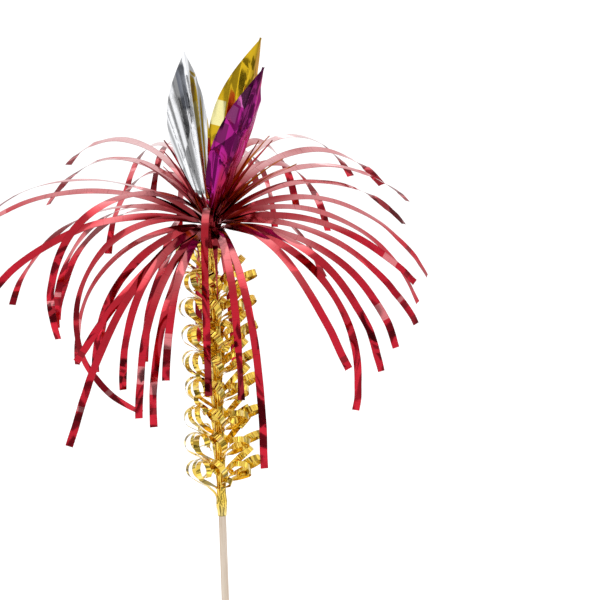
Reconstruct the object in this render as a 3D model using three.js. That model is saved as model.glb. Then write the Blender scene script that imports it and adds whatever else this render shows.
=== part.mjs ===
// A foil palm tree pick for cakes, ice cream and party food.
//
// A birch stick carries a trunk of curled gold fringe, a crown of long red fronds and three folded leaves.
// Trunk and crown are strips of metallised film, cut into strands along one side and wound round the stick
// on their uncut edge. The leaves are clasped to the top of the stick by a turn of tape under the crown.
//
// Millimetres, +Z up along the stick, origin at the point of the stick. -Y is the front.

import * as THREE from "three";

// Stick
const STICK_DIAMETER = 2.5;
const POINT_LENGTH = 9;
const POINT_FLAT = 0.5;
const TOP_ROUNDING = 0.2;
const BARE_LENGTH = 72;

// Film
const FILM_THICKNESS = 0.15;
const SEAT_CLEARANCE = 0.05;
const STRIP_GAP = 0.3;

// Trunk fringe
const TRUNK_TURNS = 10;
const TRUNK_PITCH = 9;
const WRAP_OVERLAP = 1;
const PLAIN_TURNS_BELOW = 0.4;
const PLAIN_TURNS_ABOVE = 2.35;
const CURL_WIDTH = 2;
const CURL_STRAIGHT = 12;
const CURL_RADIUS = 3.4;
const CURL_TURN = 265;
const CURL_RISE_LEFT = 33;
const CURL_RISE_RIGHT = 22;
const CURL_TILT_RIGHT = 64;

// How unlike the curls are: the spread of their straight part in mm, and of their angles in degrees.
const STRAIGHT_SPREAD = 1;
const TURN_SPREAD = 80;
const RISE_SPREAD = 10;
const TILT_SPREAD = 10;

// Crown
const BAND_HEIGHT = 5;
const BAND_STEP = 1.8;
const BAND_TURNS = 3;
const FROND_WIDTH = 2.4;
const FROND_LENGTH = 90;
const FROND_BEND = 2.5;
const FROND_STAGGER = 0.5;
const FROND_FLARE = 17;

// Leaves
const LEAF_LENGTH = 56;
const LEAF_WIDTH = 18;
const LEAF_TAIL = 7;
const LEAF_CLASP = 64;
const LEAF_NECK = 4.5;
const LEAF_TIP = 1;
const LEAF_OPENING = 0.2;
const TAIL_FADE = 0.25;
const TAPE_THICKNESS = 0.1;
const TAPE_HEIGHT = 6;

// How finely the round and curved forms are faceted.
const STICK_SIDES = 24;
const WRAP_SIDES = 16;
const FROND_STEPS = 9;
const CURL_STEPS = 8;
const LEAF_STEPS = 11;

// The sharpened end's outline, as shares of the stick's radius and of the point's length.
const POINT_SHARES = [
  [0.62, 0.5],
  [0.92, 0.86],
  [1, 1.12],
];

// Above 1, a frond's stations crowd together near its strip, where it bends most.
const STATION_CROWDING = 1.25;

// Sizes that follow from the driving ones
const stickRadius = STICK_DIAMETER / 2;
const trunkTop = BARE_LENGTH + TRUNK_TURNS * TRUNK_PITCH;
const crownBase = trunkTop + STRIP_GAP;
const crownTop = crownBase + BAND_HEIGHT + 2 * BAND_STEP;
const filmSeat = stickRadius + SEAT_CLEARANCE;
const tailRadius = filmSeat + FILM_THICKNESS / 2;
const tapeInner = tailRadius + FILM_THICKNESS / 2 + SEAT_CLEARANCE;
const tapeOuter = tapeInner + TAPE_THICKNESS;
const bandGrowth = FILM_THICKNESS + SEAT_CLEARANCE;
const upperSeat = tapeOuter + SEAT_CLEARANCE;
const middleSeat = upperSeat + (BAND_TURNS + 1) * bandGrowth;
const lowerSeat = middleSeat + (BAND_TURNS + 1) * bandGrowth;

// Fronds of the three crown strips, in degrees. turn: the turn of the strip it is cut from, 0 innermost.
// heading: the way it points, seen from above, 0 to the right and 270 to the front. launch: its slope where
// it leaves the strip. hang: its slope at the tip. roll: how far the film has twisted by the tip.
// length: share of the full one. droop: 1 bends evenly, more bends near the strip and keeps the tip straight.
const UPPER_FRONDS = [
  { turn: 2, heading: 38, launch: 36, hang: -42, roll: 15 },
  { turn: 1, heading: 45, launch: 46, hang: -45, roll: 20 },
  { turn: 0, heading: 52, launch: 57, hang: -52, roll: 15 },
  { turn: 2, heading: 59, launch: 46, hang: -70, roll: 25 },
  { turn: 0, heading: 66, launch: 62, hang: -75, roll: 30 },
  { turn: 1, heading: 73, launch: 56, hang: -80, roll: 25 },
  { turn: 2, heading: 80, launch: 48, hang: -48, roll: 20 },
  { turn: 0, heading: 87, launch: 64, hang: -70, roll: 20 },
  { turn: 1, heading: 94, launch: 58, hang: -64, roll: -20 },
  { turn: 2, heading: 101, launch: 50, hang: -76, roll: -15 },
  { turn: 0, heading: 108, launch: 62, hang: -68, roll: -20 },
  { turn: 1, heading: 115, launch: 57, hang: -60, roll: -15 },
  { turn: 2, heading: 122, launch: 43, hang: -76, roll: -20 },
  { turn: 0, heading: 129, launch: 51, hang: -36, roll: -15 },
  { turn: 1, heading: 136, launch: 46, hang: -50, roll: -10 },
  { turn: 1, heading: 205, launch: 42, hang: -112, roll: -20 },
  { turn: 2, heading: 263, launch: 74, hang: -87, roll: 6, length: 0.8, droop: 8 },
];
const MIDDLE_FRONDS = [
  { turn: 2, heading: 3, launch: 4, hang: -66, roll: 25, length: 0.88 },
  { turn: 1, heading: 10, launch: 9, hang: -52, roll: 30, length: 0.82 },
  { turn: 0, heading: 17, launch: 17, hang: -70, roll: 20, length: 0.95 },
  { turn: 2, heading: 25, launch: 24, hang: -62, roll: 20 },
  { turn: 1, heading: 33, launch: 32, hang: -46, roll: 15, length: 0.92 },
  { turn: 2, heading: 142, launch: 20, hang: -80, roll: -10 },
  { turn: 1, heading: 149, launch: 25, hang: -92, roll: -10 },
  { turn: 2, heading: 156, launch: 24, hang: -70, roll: -10 },
  { turn: 0, heading: 163, launch: 36, hang: -40, roll: 0 },
  { turn: 1, heading: 170, launch: 30, hang: -40, roll: -15 },
  { turn: 2, heading: 178, launch: 14, hang: -58, roll: -35 },
  { turn: 1, heading: 190, launch: 15, hang: -158, roll: -20, length: 1.14 },
  { turn: 0, heading: 50, launch: 12, hang: -66, roll: 15, length: 0.75 },
  { turn: 1, heading: 112, launch: 12, hang: -70, roll: -15, length: 0.75 },
  { turn: 1, heading: 316, launch: 0, hang: -58, roll: 20, length: 0.84, droop: 2 },
];
const LOWER_FRONDS = [
  { turn: 0, heading: 183, launch: 0, hang: -96, roll: -15, length: 0.79 },
  { turn: 0, heading: 204, launch: -8, hang: -92, roll: -30, length: 0.74 },
  { turn: 2, heading: 212, launch: -24, hang: -55, roll: -30, length: 0.7 },
  { turn: 1, heading: 220, launch: -15, hang: -66, roll: -35, droop: 2 },
  { turn: 0, heading: 230, launch: -8, hang: -92, roll: -25, length: 0.79 },
  { turn: 1, heading: 239, launch: -16, hang: -92, roll: -20, length: 0.85 },
  { turn: 2, heading: 245, launch: -22, hang: -90, roll: -15, length: 0.85 },
  { turn: 0, heading: 251, launch: -8, hang: -84, roll: -10, length: 0.75 },
  { turn: 2, heading: 273, launch: -30, hang: -95, roll: 30, length: 0.31 },
  { turn: 1, heading: 283, launch: 0, hang: -85, roll: 15, length: 0.78, droop: 2 },
  { turn: 2, heading: 289, launch: -18, hang: -90, roll: 10, droop: 1.6 },
  { turn: 2, heading: 28, launch: -8, hang: -82, roll: 15, length: 0.8 },
  { turn: 2, heading: 84, launch: -22, hang: -88, roll: 10, length: 0.78 },
  { turn: 1, heading: 91, launch: -12, hang: -88, roll: -10, length: 0.9 },
  { turn: 0, heading: 98, launch: -4, hang: -88, roll: 12, length: 0.84 },
  { turn: 2, heading: 124, launch: -16, hang: -86, roll: -15, length: 0.8 },
  { turn: 1, heading: 152, launch: -12, hang: -84, roll: 15, length: 0.75 },
  { turn: 0, heading: 328, launch: 4, hang: -80, roll: 25, length: 0.92 },
  { turn: 2, heading: 338, launch: -4, hang: -104, roll: 25, length: 0.95 },
  { turn: 1, heading: 348, launch: 3, hang: -76, roll: 25, length: 0.85 },
];

// long and wide: shares of the full length and width. belly: above 1 is widest past the middle. fold: the angle
// between the halves. seat: the side of the stick that the tail clasps. heading and lean: which way and how far
// the leaf leans. facing: where its ridge points. LEAF_OPENING and TAIL_FADE are shares of a leaf's length: it
// opens out of its clasp over the first, and the tail's width dies away over the second.
const LEAVES = {
  silver_leaf: { long: 1, wide: 1, belly: 1.25, fold: 118, seat: 226, heading: 183, lean: 6.3, facing: 300 },
  gold_leaf: { long: 1.1, wide: 1.03, belly: 1.1, fold: 112, seat: 5, heading: 16, lean: 17.1, facing: -54 },
  magenta_leaf: { long: 1.09, wide: 0.86, belly: 0.85, fold: 100, seat: 298, heading: 305, lean: 33, facing: 296 },
};

const radians = THREE.MathUtils.degToRad;
const lerp = THREE.MathUtils.lerp;
const smooth = (x) => THREE.MathUtils.smoothstep(x, 0, 1);
const UP = new THREE.Vector3(0, 0, 1);
const FULL_TURN = 2 * Math.PI;
const wrapped = (angle, full) => {
  return THREE.MathUtils.euclideanModulo(angle + full / 2, full) - full / 2;
};
const outward = (angle) => new THREE.Vector3(Math.cos(angle), Math.sin(angle), 0);
const sideways = (angle) => new THREE.Vector3(-Math.sin(angle), Math.cos(angle), 0);

// A steady spread of values from -0.5 to 0.5, so that no two neighbouring curls are alike.
const GOLDEN_SHARE = 0.6180339887;
const spread = (index, series) => (((index + 1) * (GOLDEN_SHARE + 0.11 * series)) % 1) - 0.5;

// One closed skin, made from rings of points. Looking back along the way it runs, a ring goes anticlockwise.
class Skin {
  positions = [];
  indices = [];

  ring(points) {
    return points.map((point) => this.positions.push(...point.toArray()) / 3 - 1);
  }

  quad(a, b, c, d) {
    this.indices.push(a, b, c, a, c, d);
  }

  // Joins a ring to the next one. The side that starts at point number open is left for a strand.
  join(ring, next, open = -1) {
    ring.forEach((corner, k) => {
      const after = (k + 1) % ring.length;
      if (k !== open) this.quad(corner, ring[after], next[after], next[k]);
    });
  }

  // Closes a ring that holds one face of the film, then the other face in reverse.
  close(ring) {
    for (let k = 0; k + 1 < ring.length / 2; k++) {
      this.quad(ring[k], ring[k + 1], ring[ring.length - 2 - k], ring[ring.length - 1 - k]);
    }
  }

  geometry() {
    const geometry = new THREE.BufferGeometry();
    geometry.setAttribute("position", new THREE.Float32BufferAttribute(this.positions, 3));
    geometry.setIndex(this.indices);
    geometry.computeVertexNormals();
    return geometry;
  }
}

// The film's two faces at one station, half its thickness to each side of the points across it.
// A normal is the way across the film times the way along it.
function filmRing({ points, normals }) {
  const face = (side) =>
    points.map((point, i) => point.clone().addScaledVector(normals[i], (side * FILM_THICKNESS) / 2));
  return [...face(1), ...face(-1).reverse()];
}

function loft(skin, stations) {
  const rings = stations.map((station) => skin.ring(filmRing(station)));
  rings.slice(1).forEach((ring, i) => skin.join(rings[i], ring));
  return rings;
}

// A strip wound round the stick, given by its lower and upper edge at each station. strands holds, for each
// stretch from one station to the next, the function that makes the strand there from its root, or nothing.
function fringedStrip(edges, strands) {
  const skin = new Skin();
  const UPPER_INNER = 1;
  const UPPER_OUTER = 2;
  const rings = edges.map(({ points, angle }) => {
    const inward = outward(angle).negate();
    return skin.ring(filmRing({ points, normals: [inward, inward] }));
  });
  for (let i = 0; i + 1 < rings.length; i++) {
    const [ring, next] = [rings[i], rings[i + 1]];
    skin.join(ring, next, strands[i] ? UPPER_INNER : -1);
    if (!strands[i]) continue;
    const root = edges[i].points[1].clone().lerp(edges[i + 1].points[1], 0.5);
    const width = edges[i].points[1].distanceTo(edges[i + 1].points[1]);
    const strand = loft(skin, strands[i](root, (edges[i].angle + edges[i + 1].angle) / 2, width));
    skin.join([ring[UPPER_OUTER], next[UPPER_OUTER], next[UPPER_INNER], ring[UPPER_INNER]], strand[0]);
    skin.close(strand.at(-1));
  }
  skin.close([...rings[0]].reverse());
  skin.close(rings.at(-1));
  return skin.geometry();
}

// One station of a strand: its two edges, square to the way it runs.
function strandStation(point, along, side, width) {
  const across = side.clone().addScaledVector(along, -side.dot(along)).normalize();
  const normal = across.clone().cross(along).normalize();
  const points = [-0.5, 0.5].map((share) => point.clone().addScaledVector(across, share * width));
  return { points, normals: [normal, normal] };
}

// Follows a path by its direction at each distance along it, and returns the point at each distance.
function follow(start, directionAt, distances) {
  const STEPS_BETWEEN = 6;
  const point = start.clone();
  let walked = 0;
  return distances.map((distance) => {
    const step = (distance - walked) / STEPS_BETWEEN;
    for (let k = 0; k < STEPS_BETWEEN; k++) {
      point.addScaledVector(directionAt(walked + (k + 0.5) * step), step);
    }
    walked = distance;
    return point.clone();
  });
}

// A frond stands up out of its strip, bends over to its launch slope and droops towards the tip. The inner
// turns stand up higher before they bend, to clear the outer ones.
function frond(values, root, rootAngle, rootWidth) {
  const { turn, heading, launch, hang, roll, length = 1, droop = 1 } = values;
  const full = FROND_LENGTH * length;
  const bend = FROND_BEND + (BAND_TURNS - 1 - turn) * FROND_STAGGER;
  const toHeading = wrapped(radians(heading) - rootAngle, FULL_TURN);
  const headingAt = (s) => rootAngle + toHeading * smooth(s / bend);
  const slopeAt = (s) => {
    if (s < bend) return radians(lerp(90, launch, s / bend));
    return radians(hang + (launch - hang) * (1 - (s - bend) / (full - bend)) ** droop);
  };
  const alongAt = (s) =>
    outward(headingAt(s)).multiplyScalar(Math.cos(slopeAt(s))).addScaledVector(UP, Math.sin(slopeAt(s)));
  const distances = [bend / 3, (bend * 2) / 3, bend];
  for (let i = 1; i <= FROND_STEPS; i++) {
    distances.push(bend + (full - bend) * (i / FROND_STEPS) ** STATION_CROWDING);
  }
  return follow(root, alongAt, distances).map((point, i) => {
    const s = distances[i];
    const twist = radians(roll) * (smooth(s / FROND_FLARE) + smooth(s / full));
    const side = sideways(headingAt(s)).applyAxisAngle(alongAt(s), twist);
    return strandStation(point, alongAt(s), side, lerp(rootWidth, FROND_WIDTH, smooth(s / FROND_FLARE)));
  });
}

// A crown strip, wound on itself in a close spiral. Each frond is cut at the free stretch of its turn that
// lies nearest to its heading.
function frondStrip(fronds, seat, height) {
  const edges = Array.from({ length: BAND_TURNS * WRAP_SIDES + 1 }, (_, i) => {
    const angle = (i / WRAP_SIDES) * FULL_TURN;
    const radius = (seat + FILM_THICKNESS / 2 + (bandGrowth * i) / WRAP_SIDES) / Math.cos(Math.PI / WRAP_SIDES);
    return { angle, points: [0, height].map((z) => outward(angle).multiplyScalar(radius).setZ(crownBase + z)) };
  });
  const strands = [];
  for (const values of fronds) {
    const aside = (i) => Math.abs(wrapped(((i + 0.5) * 360) / WRAP_SIDES - values.heading, 360));
    const stretches = Array.from({ length: WRAP_SIDES }, (_, i) => values.turn * WRAP_SIDES + i);
    const chosen = stretches.filter((i) => !strands[i]).sort((a, b) => aside(a) - aside(b))[0];
    strands[chosen] = (...root) => frond(values, ...root);
  }
  return fringedStrip(edges, strands);
}

// A strand of the trunk rises outwards from the wrap's upper edge and scrolls back over itself. On the right,
// where the pick was pressed in its box, the scrolls lie on their sides.
function curl(index, root, rootAngle, rootWidth) {
  const lying = (1 + Math.cos(rootAngle)) / 2;
  const rise = radians(lerp(CURL_RISE_LEFT, CURL_RISE_RIGHT, lying) + RISE_SPREAD * spread(index, 1));
  const tilt = radians(lerp(0, CURL_TILT_RIGHT, lying) + TILT_SPREAD * spread(index, 2));
  const straight = CURL_STRAIGHT + STRAIGHT_SPREAD * spread(index, 4);
  const full = straight + CURL_RADIUS * radians(CURL_TURN + TURN_SPREAD * spread(index, 3));
  const bar = outward(rootAngle).multiplyScalar(Math.cos(rise)).addScaledVector(UP, Math.sin(rise));
  const above = outward(rootAngle).multiplyScalar(-Math.sin(rise)).addScaledVector(UP, Math.cos(rise));
  const scroll = above.applyAxisAngle(bar, tilt);
  const leaving = (s) => smooth(s / (straight * 0.4));
  const alongAt = (s) => {
    if (s < straight) return UP.clone().lerp(bar, leaving(s)).normalize();
    const angle = (s - straight) / CURL_RADIUS;
    return bar.clone().multiplyScalar(Math.cos(angle)).addScaledVector(scroll, Math.sin(angle));
  };
  const distances = [straight * 0.12, straight * 0.4, straight];
  for (let i = 1; i <= CURL_STEPS; i++) distances.push(straight + ((full - straight) * i) / CURL_STEPS);
  return follow(root, alongAt, distances).map((point, i) => {
    const s = distances[i];
    const side = sideways(rootAngle).applyAxisAngle(bar, tilt * smooth(s / straight));
    return strandStation(point, alongAt(s), side, lerp(rootWidth, CURL_WIDTH, smooth(s / (straight * 0.6))));
  });
}

// The trunk strip climbs the stick as a spiral, and its upper edge laps over the next turn. The ends of the
// spiral are cut level, so it starts and ends plain.
function trunkFringe() {
  const wrapWidth = TRUNK_PITCH + WRAP_OVERLAP;
  const edges = [];
  const cutOff = 2;
  for (let i = cutOff; i < (TRUNK_TURNS + 1) * WRAP_SIDES; i++) {
    const turn = i / WRAP_SIDES;
    const angle = turn * FULL_TURN;
    const foot = BARE_LENGTH + (turn - 1) * TRUNK_PITCH;
    const ends = [Math.max(BARE_LENGTH, foot), Math.min(trunkTop, foot + wrapWidth)];
    const points = ends.map((z) => {
      const radius = filmSeat + FILM_THICKNESS / 2 + (bandGrowth * (z - foot)) / wrapWidth;
      return outward(angle).multiplyScalar(radius / Math.cos(Math.PI / WRAP_SIDES)).setZ(z);
    });
    edges.push({ angle, points });
  }
  const first = Math.round(PLAIN_TURNS_BELOW * WRAP_SIDES) - cutOff;
  const last = Math.round((TRUNK_TURNS + 1 - PLAIN_TURNS_ABOVE) * WRAP_SIDES) - cutOff;
  const strands = edges.map((_, i) => {
    if (i < first || i > last || (i - first) % 2) return null;
    return (...root) => curl((i - first) / 2, ...root);
  });
  return fringedStrip(edges, strands);
}

// A leaf is cut as a long lens from film and folded along its middle. Its tail clasps a third of the stick.
function leaf({ long, wide, belly, fold, seat, heading, lean, facing }) {
  const skin = new Skin();
  const length = LEAF_LENGTH * long;
  const width = LEAF_WIDTH * wide;
  const clasp = radians(LEAF_CLASP) * tailRadius;
  const COLUMNS = [-1, -0.5, 0, 0.5, 1];
  const slopeAt = (s) => radians(90 - lean * smooth((s - LEAF_TAIL) / LEAF_NECK));
  const alongAt = (s) =>
    outward(radians(heading)).multiplyScalar(Math.cos(slopeAt(s))).addScaledVector(UP, Math.sin(slopeAt(s)));
  const distances = [0, LEAF_TAIL * 0.55, LEAF_TAIL];
  for (let i = 1; i <= LEAF_STEPS - 2; i++) distances.push(LEAF_TAIL + (length * i) / (LEAF_STEPS - 2));
  const start = outward(radians(seat)).multiplyScalar(tailRadius).setZ(crownTop - LEAF_TAIL);
  const rings = loft(
    skin,
    follow(start, alongAt, distances).map((point, i) => {
      const s = distances[i];
      const share = Math.min(1, Math.max(0, (s - LEAF_TAIL) / length));
      const open = smooth(share / LEAF_OPENING);
      const lens = Math.sin(Math.PI * share ** belly);
      const halfWidth = Math.max(lerp(clasp, 0, smooth(share / TAIL_FADE)), width * lens, LEAF_TIP) / 2;
      const front = outward(radians(lerp(seat, facing, open)));
      const ridge = front.addScaledVector(alongAt(s), -front.dot(alongAt(s))).normalize();
      const across = alongAt(s).cross(ridge).normalize();
      const slope = radians((180 - fold) / 2);
      const points = [];
      const normals = [];
      for (const column of COLUMNS) {
        const reach = column * halfWidth;
        const arc = reach / tailRadius;
        const round = ridge.clone().multiplyScalar(tailRadius * (Math.cos(arc) - 1))
          .addScaledVector(across, tailRadius * Math.sin(arc));
        const folded = across.clone().multiplyScalar(reach * Math.cos(slope))
          .addScaledVector(ridge, -Math.abs(reach) * Math.sin(slope));
        const slant = lerp(arc, Math.sign(column) * slope, open);
        points.push(round.lerp(folded, open).add(point));
        normals.push(ridge.clone().multiplyScalar(Math.cos(slant)).addScaledVector(across, Math.sin(slant)));
      }
      return { points, normals };
    }),
  );
  skin.close([...rings[0]].reverse());
  skin.close(rings.at(-1));
  return skin.geometry();
}

function turned(profile, sides) {
  const points = profile.map(([radius, z]) => new THREE.Vector2(radius, z));
  return new THREE.LatheGeometry(points, sides).rotateX(Math.PI / 2);
}

function stick() {
  const top = crownTop - SEAT_CLEARANCE;
  return turned(
    [
      [0, 0],
      [POINT_FLAT / 2, 0],
      ...POINT_SHARES.map(([radius, z]) => [stickRadius * radius, POINT_LENGTH * z]),
      [stickRadius, top - TOP_ROUNDING],
      [stickRadius - TOP_ROUNDING, top],
      [0, top],
    ],
    STICK_SIDES,
  );
}

function tape() {
  const middle = crownTop - LEAF_TAIL / 2;
  const [bottom, top] = [middle - TAPE_HEIGHT / 2, middle + TAPE_HEIGHT / 2];
  return turned(
    [
      [tapeInner, bottom],
      [tapeOuter, bottom],
      [tapeOuter, top],
      [tapeInner, top],
      [tapeInner, bottom],
    ],
    STICK_SIDES,
  );
}

const wood = { color: 0xe6cfae, roughness: 0.75, metalness: 0 };
const goldFilm = { color: 0xe0a810, roughness: 0.18, metalness: 1 };
const redFilm = { color: 0xb3121e, roughness: 0.2, metalness: 1 };
const silverFilm = { color: 0xc9ced4, roughness: 0.12, metalness: 1 };
const magentaFilm = { color: 0xa01c86, roughness: 0.12, metalness: 1 };
const clearTape = { color: 0xdfe3df, roughness: 0.3, metalness: 0 };

const pick = new THREE.Group();
pick.name = "palm_tree_pick";
function add(name, geometry, finish) {
  const mesh = new THREE.Mesh(geometry, new THREE.MeshStandardMaterial(finish));
  mesh.name = name;
  pick.add(mesh);
}

add("wooden_stick", stick(), wood);
add("trunk_fringe", trunkFringe(), goldFilm);
add("lower_frond_strip", frondStrip(LOWER_FRONDS, lowerSeat, BAND_HEIGHT), redFilm);
add("middle_frond_strip", frondStrip(MIDDLE_FRONDS, middleSeat, BAND_HEIGHT + BAND_STEP), redFilm);
add("upper_frond_strip", frondStrip(UPPER_FRONDS, upperSeat, BAND_HEIGHT + 2 * BAND_STEP), redFilm);
add("leaf_tape", tape(), clearTape);
add("silver_leaf", leaf(LEAVES.silver_leaf), silverFilm);
add("gold_leaf", leaf(LEAVES.gold_leaf), goldFilm);
add("magenta_leaf", leaf(LEAVES.magenta_leaf), magentaFilm);

export default pick;
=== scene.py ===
"""Dresses the palm tree pick: a birch stick, a trunk of gold film, a crown of red film and three leaves.

The sizes below are millimetres and degrees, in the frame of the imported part: +Z up along the stick, origin at
its point, -Y the front. The meshes are made in metres.
"""

import random
from math import copysign, cos, exp, hypot, pi, radians, sin, tan, tau

import bpy
from bpy.props import FloatProperty, FloatVectorProperty, IntProperty, PointerProperty
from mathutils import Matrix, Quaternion, Vector


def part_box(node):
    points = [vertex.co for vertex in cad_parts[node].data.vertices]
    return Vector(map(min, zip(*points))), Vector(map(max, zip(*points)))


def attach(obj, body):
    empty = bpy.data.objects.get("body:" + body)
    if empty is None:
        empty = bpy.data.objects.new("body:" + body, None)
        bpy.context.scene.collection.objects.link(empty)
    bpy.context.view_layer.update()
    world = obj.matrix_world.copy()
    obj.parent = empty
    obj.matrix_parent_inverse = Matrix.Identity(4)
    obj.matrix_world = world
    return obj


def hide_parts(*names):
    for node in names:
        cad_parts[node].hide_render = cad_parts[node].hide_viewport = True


bl_info = {
    "name": "Palm Tree Pick",
    "version": (1, 0, 0),
    "blender": (4, 5, 0),
    "location": "3D View > Sidebar > Palm Pick",
    "description": "Builds the film, the stick and the studio of a palm tree pick",
    "category": "Add Mesh",
}

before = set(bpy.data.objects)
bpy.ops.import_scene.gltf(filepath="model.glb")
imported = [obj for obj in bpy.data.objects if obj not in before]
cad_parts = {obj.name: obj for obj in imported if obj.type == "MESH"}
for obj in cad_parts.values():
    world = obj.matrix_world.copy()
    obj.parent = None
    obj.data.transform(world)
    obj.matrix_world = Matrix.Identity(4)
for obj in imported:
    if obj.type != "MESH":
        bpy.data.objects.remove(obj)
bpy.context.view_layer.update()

MM = 0.001
ROOT = "root"

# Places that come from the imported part, in millimetres
stick_low, stick_high = (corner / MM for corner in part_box("wooden_stick"))
STICK_RADIUS = (stick_high.x - stick_low.x) / 2
STICK_TOP = stick_high.z
TRUNK_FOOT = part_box("trunk_fringe")[0].z / MM
CROWN_TOP = STICK_TOP + 0.05

# The wound strips
FILM_GAP = 0.05
SOLID_THICKNESS = 0.15
TRUNK_TURNS = 10
TRUNK_PITCH = 9
WRAP_OVERLAP = 1
TRUNK_TOP = TRUNK_FOOT + TRUNK_TURNS * TRUNK_PITCH
CROWN_BASE = TRUNK_TOP + 0.3
BAND_STEP = 1.8
BAND_HEIGHT = CROWN_TOP - CROWN_BASE - 2 * BAND_STEP
BAND_TURNS = 3
BAND_GROWTH = SOLID_THICKNESS + FILM_GAP
WRAP_SIDES = 16
FILM_SEAT = STICK_RADIUS + FILM_GAP
TAIL_RADIUS = FILM_SEAT + SOLID_THICKNESS / 2
UPPER_SEAT = TAIL_RADIUS + SOLID_THICKNESS / 2 + 2 * FILM_GAP + 0.1
MIDDLE_SEAT = UPPER_SEAT + (BAND_TURNS + 1) * BAND_GROWTH
LOWER_SEAT = MIDDLE_SEAT + (BAND_TURNS + 1) * BAND_GROWTH

# How a frond leaves its strip
FROND_LENGTH = 90
FROND_BEND = 2.5
FROND_STAGGER = 0.5
FROND_FLARE = 17

# How a strand of the trunk curls
PLAIN_TURNS_BELOW = 0.4
PLAIN_TURNS_ABOVE = 2.35
CURL_STRAIGHT = 12
CURL_RADIUS = 3.4
CURL_TURN = 265
CURL_RISE_LEFT = 33
CURL_RISE_RIGHT = 22
CURL_TILT_RIGHT = 64
STRAIGHT_SPREAD = 1
TURN_SPREAD = 80
RISE_SPREAD = 10
TILT_SPREAD = 10

# The leaves
LEAF_LENGTH = 56
LEAF_WIDTH = 18
LEAF_TAIL = 7
LEAF_CLASP = 64
LEAF_NECK = 4.5
LEAF_TIP = 1
LEAF_OPENING = 0.2
TAIL_FADE = 0.25

# Fronds: turn of the strip, heading, launch, hang, roll, share of the full length, droop. The last two are 1
# where they are left out.
UPPER_FRONDS = [
    (2, 38, 36, -42, 15), (1, 45, 46, -45, 20), (0, 52, 57, -52, 15), (2, 59, 46, -70, 25),
    (0, 66, 62, -75, 30), (1, 73, 56, -80, 25), (2, 80, 48, -48, 20), (0, 87, 64, -70, 20),
    (1, 94, 58, -64, -20), (2, 101, 50, -76, -15), (0, 108, 62, -68, -20), (1, 115, 57, -60, -15),
    (2, 122, 43, -76, -20), (0, 129, 51, -36, -15), (1, 136, 46, -50, -10), (1, 205, 42, -112, -20),
    (2, 263, 74, -87, 6, 0.8, 8),
]
# Short steep strands of the upper strip that stand beside the leaves
UPPER_SPIKES = [
    (0, 178, 64, 54, -10, 0.3), (1, 163, 71, 62, -5, 0.27), (0, 150, 66, 50, -10, 0.34),
    (2, 197, 60, 44, -15, 0.26), (1, 187, 52, 30, -15, 0.33), (0, 8, 58, 44, 10, 0.36),
    (1, 352, 50, 30, 15, 0.34), (2, 18, 64, 52, 5, 0.33), (0, 30, 58, 40, 10, 0.38),
    (1, 336, 60, 50, 15, 0.22), (2, 1, 44, 20, 10, 0.36),
]
MIDDLE_FRONDS = [
    (2, 3, 4, -66, 25, 0.88), (1, 10, 9, -52, 30, 0.82), (0, 17, 17, -70, 20, 0.95),
    (2, 25, 24, -62, 20), (1, 33, 32, -46, 15, 0.92), (2, 142, 20, -80, -10), (1, 149, 25, -92, -10),
    (2, 156, 24, -70, -10), (0, 163, 36, -40, 0), (1, 170, 30, -40, -15), (2, 178, 14, -58, -35),
    (1, 190, 15, -158, -20, 1.14), (0, 50, 12, -66, 15, 0.75), (1, 112, 12, -70, -15, 0.75),
    (1, 316, 0, -58, 20, 0.84, 2),
]
LOWER_FRONDS = [
    (0, 183, 0, -96, -15, 0.79), (0, 204, -8, -92, -30, 0.74), (2, 212, -24, -55, -30, 0.7),
    (1, 220, -15, -66, -35, 1, 2), (0, 230, -8, -92, -25, 0.79), (1, 239, -16, -92, -20, 0.85),
    (2, 245, -22, -90, -15, 0.85), (0, 251, -8, -84, -10, 0.75), (2, 273, -30, -95, 30, 0.31),
    (1, 283, 0, -85, 15, 0.78, 2), (2, 289, -18, -90, 10, 1, 1.6), (2, 28, -8, -82, 15, 0.8),
    (2, 84, -22, -88, 10, 0.78), (1, 91, -12, -88, -10, 0.9), (0, 98, -4, -88, 12, 0.84),
    (2, 124, -16, -86, -15, 0.8), (1, 152, -12, -84, 15, 0.75), (0, 328, 4, -80, 25, 0.92),
    (2, 338, -4, -104, 25, 0.95), (1, 348, 3, -76, 25, 0.85),
]

# Leaves: shares of the length and width, belly, angle between the halves, seat, heading, lean, facing
LEAVES = {
    "silver_leaf": (1, 1, 1.25, 118, 226, 183, 6.3, 300),
    "gold_leaf": (1.1, 1.03, 1.1, 112, 5, 16, 17.1, -54),
    "magenta_leaf": (1.09, 0.86, 0.85, 100, 298, 305, 33, 296),
}

UP = Vector((0, 0, 1))
FRONT = 270
GOLDEN_SHARE = 0.6180339887
# The length over which a kink turns a strand, and what the shader reads as the way along on a band
KINK_LENGTH = 0.7
BAND_ALONG = 0.02


def lerp(a, b, share):
    return a + (b - a) * share


def smooth(x):
    x = min(1, max(0, x))
    return x * x * (3 - 2 * x)


def spread(index, series):
    return ((index + 1) * (GOLDEN_SHARE + 0.11 * series)) % 1 - 0.5


def outward(angle):
    return Vector((cos(angle), sin(angle), 0))


def sideways(angle):
    return Vector((-sin(angle), cos(angle), 0))


def turned(vector, axis, angle):
    return Quaternion(axis, angle) @ vector


class Wave:
    """A slow steady wander: a few sines of chosen wavelengths with phases drawn from a seed."""

    def __init__(self, chance, size, wavelengths):
        each = size / len(wavelengths) ** 0.5
        self.terms = [(each, tau / length, chance.uniform(0, 6.28)) for length in wavelengths]

    def __call__(self, s):
        return sum(size * sin(rate * s + phase) for size, rate, phase in self.terms)


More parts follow.
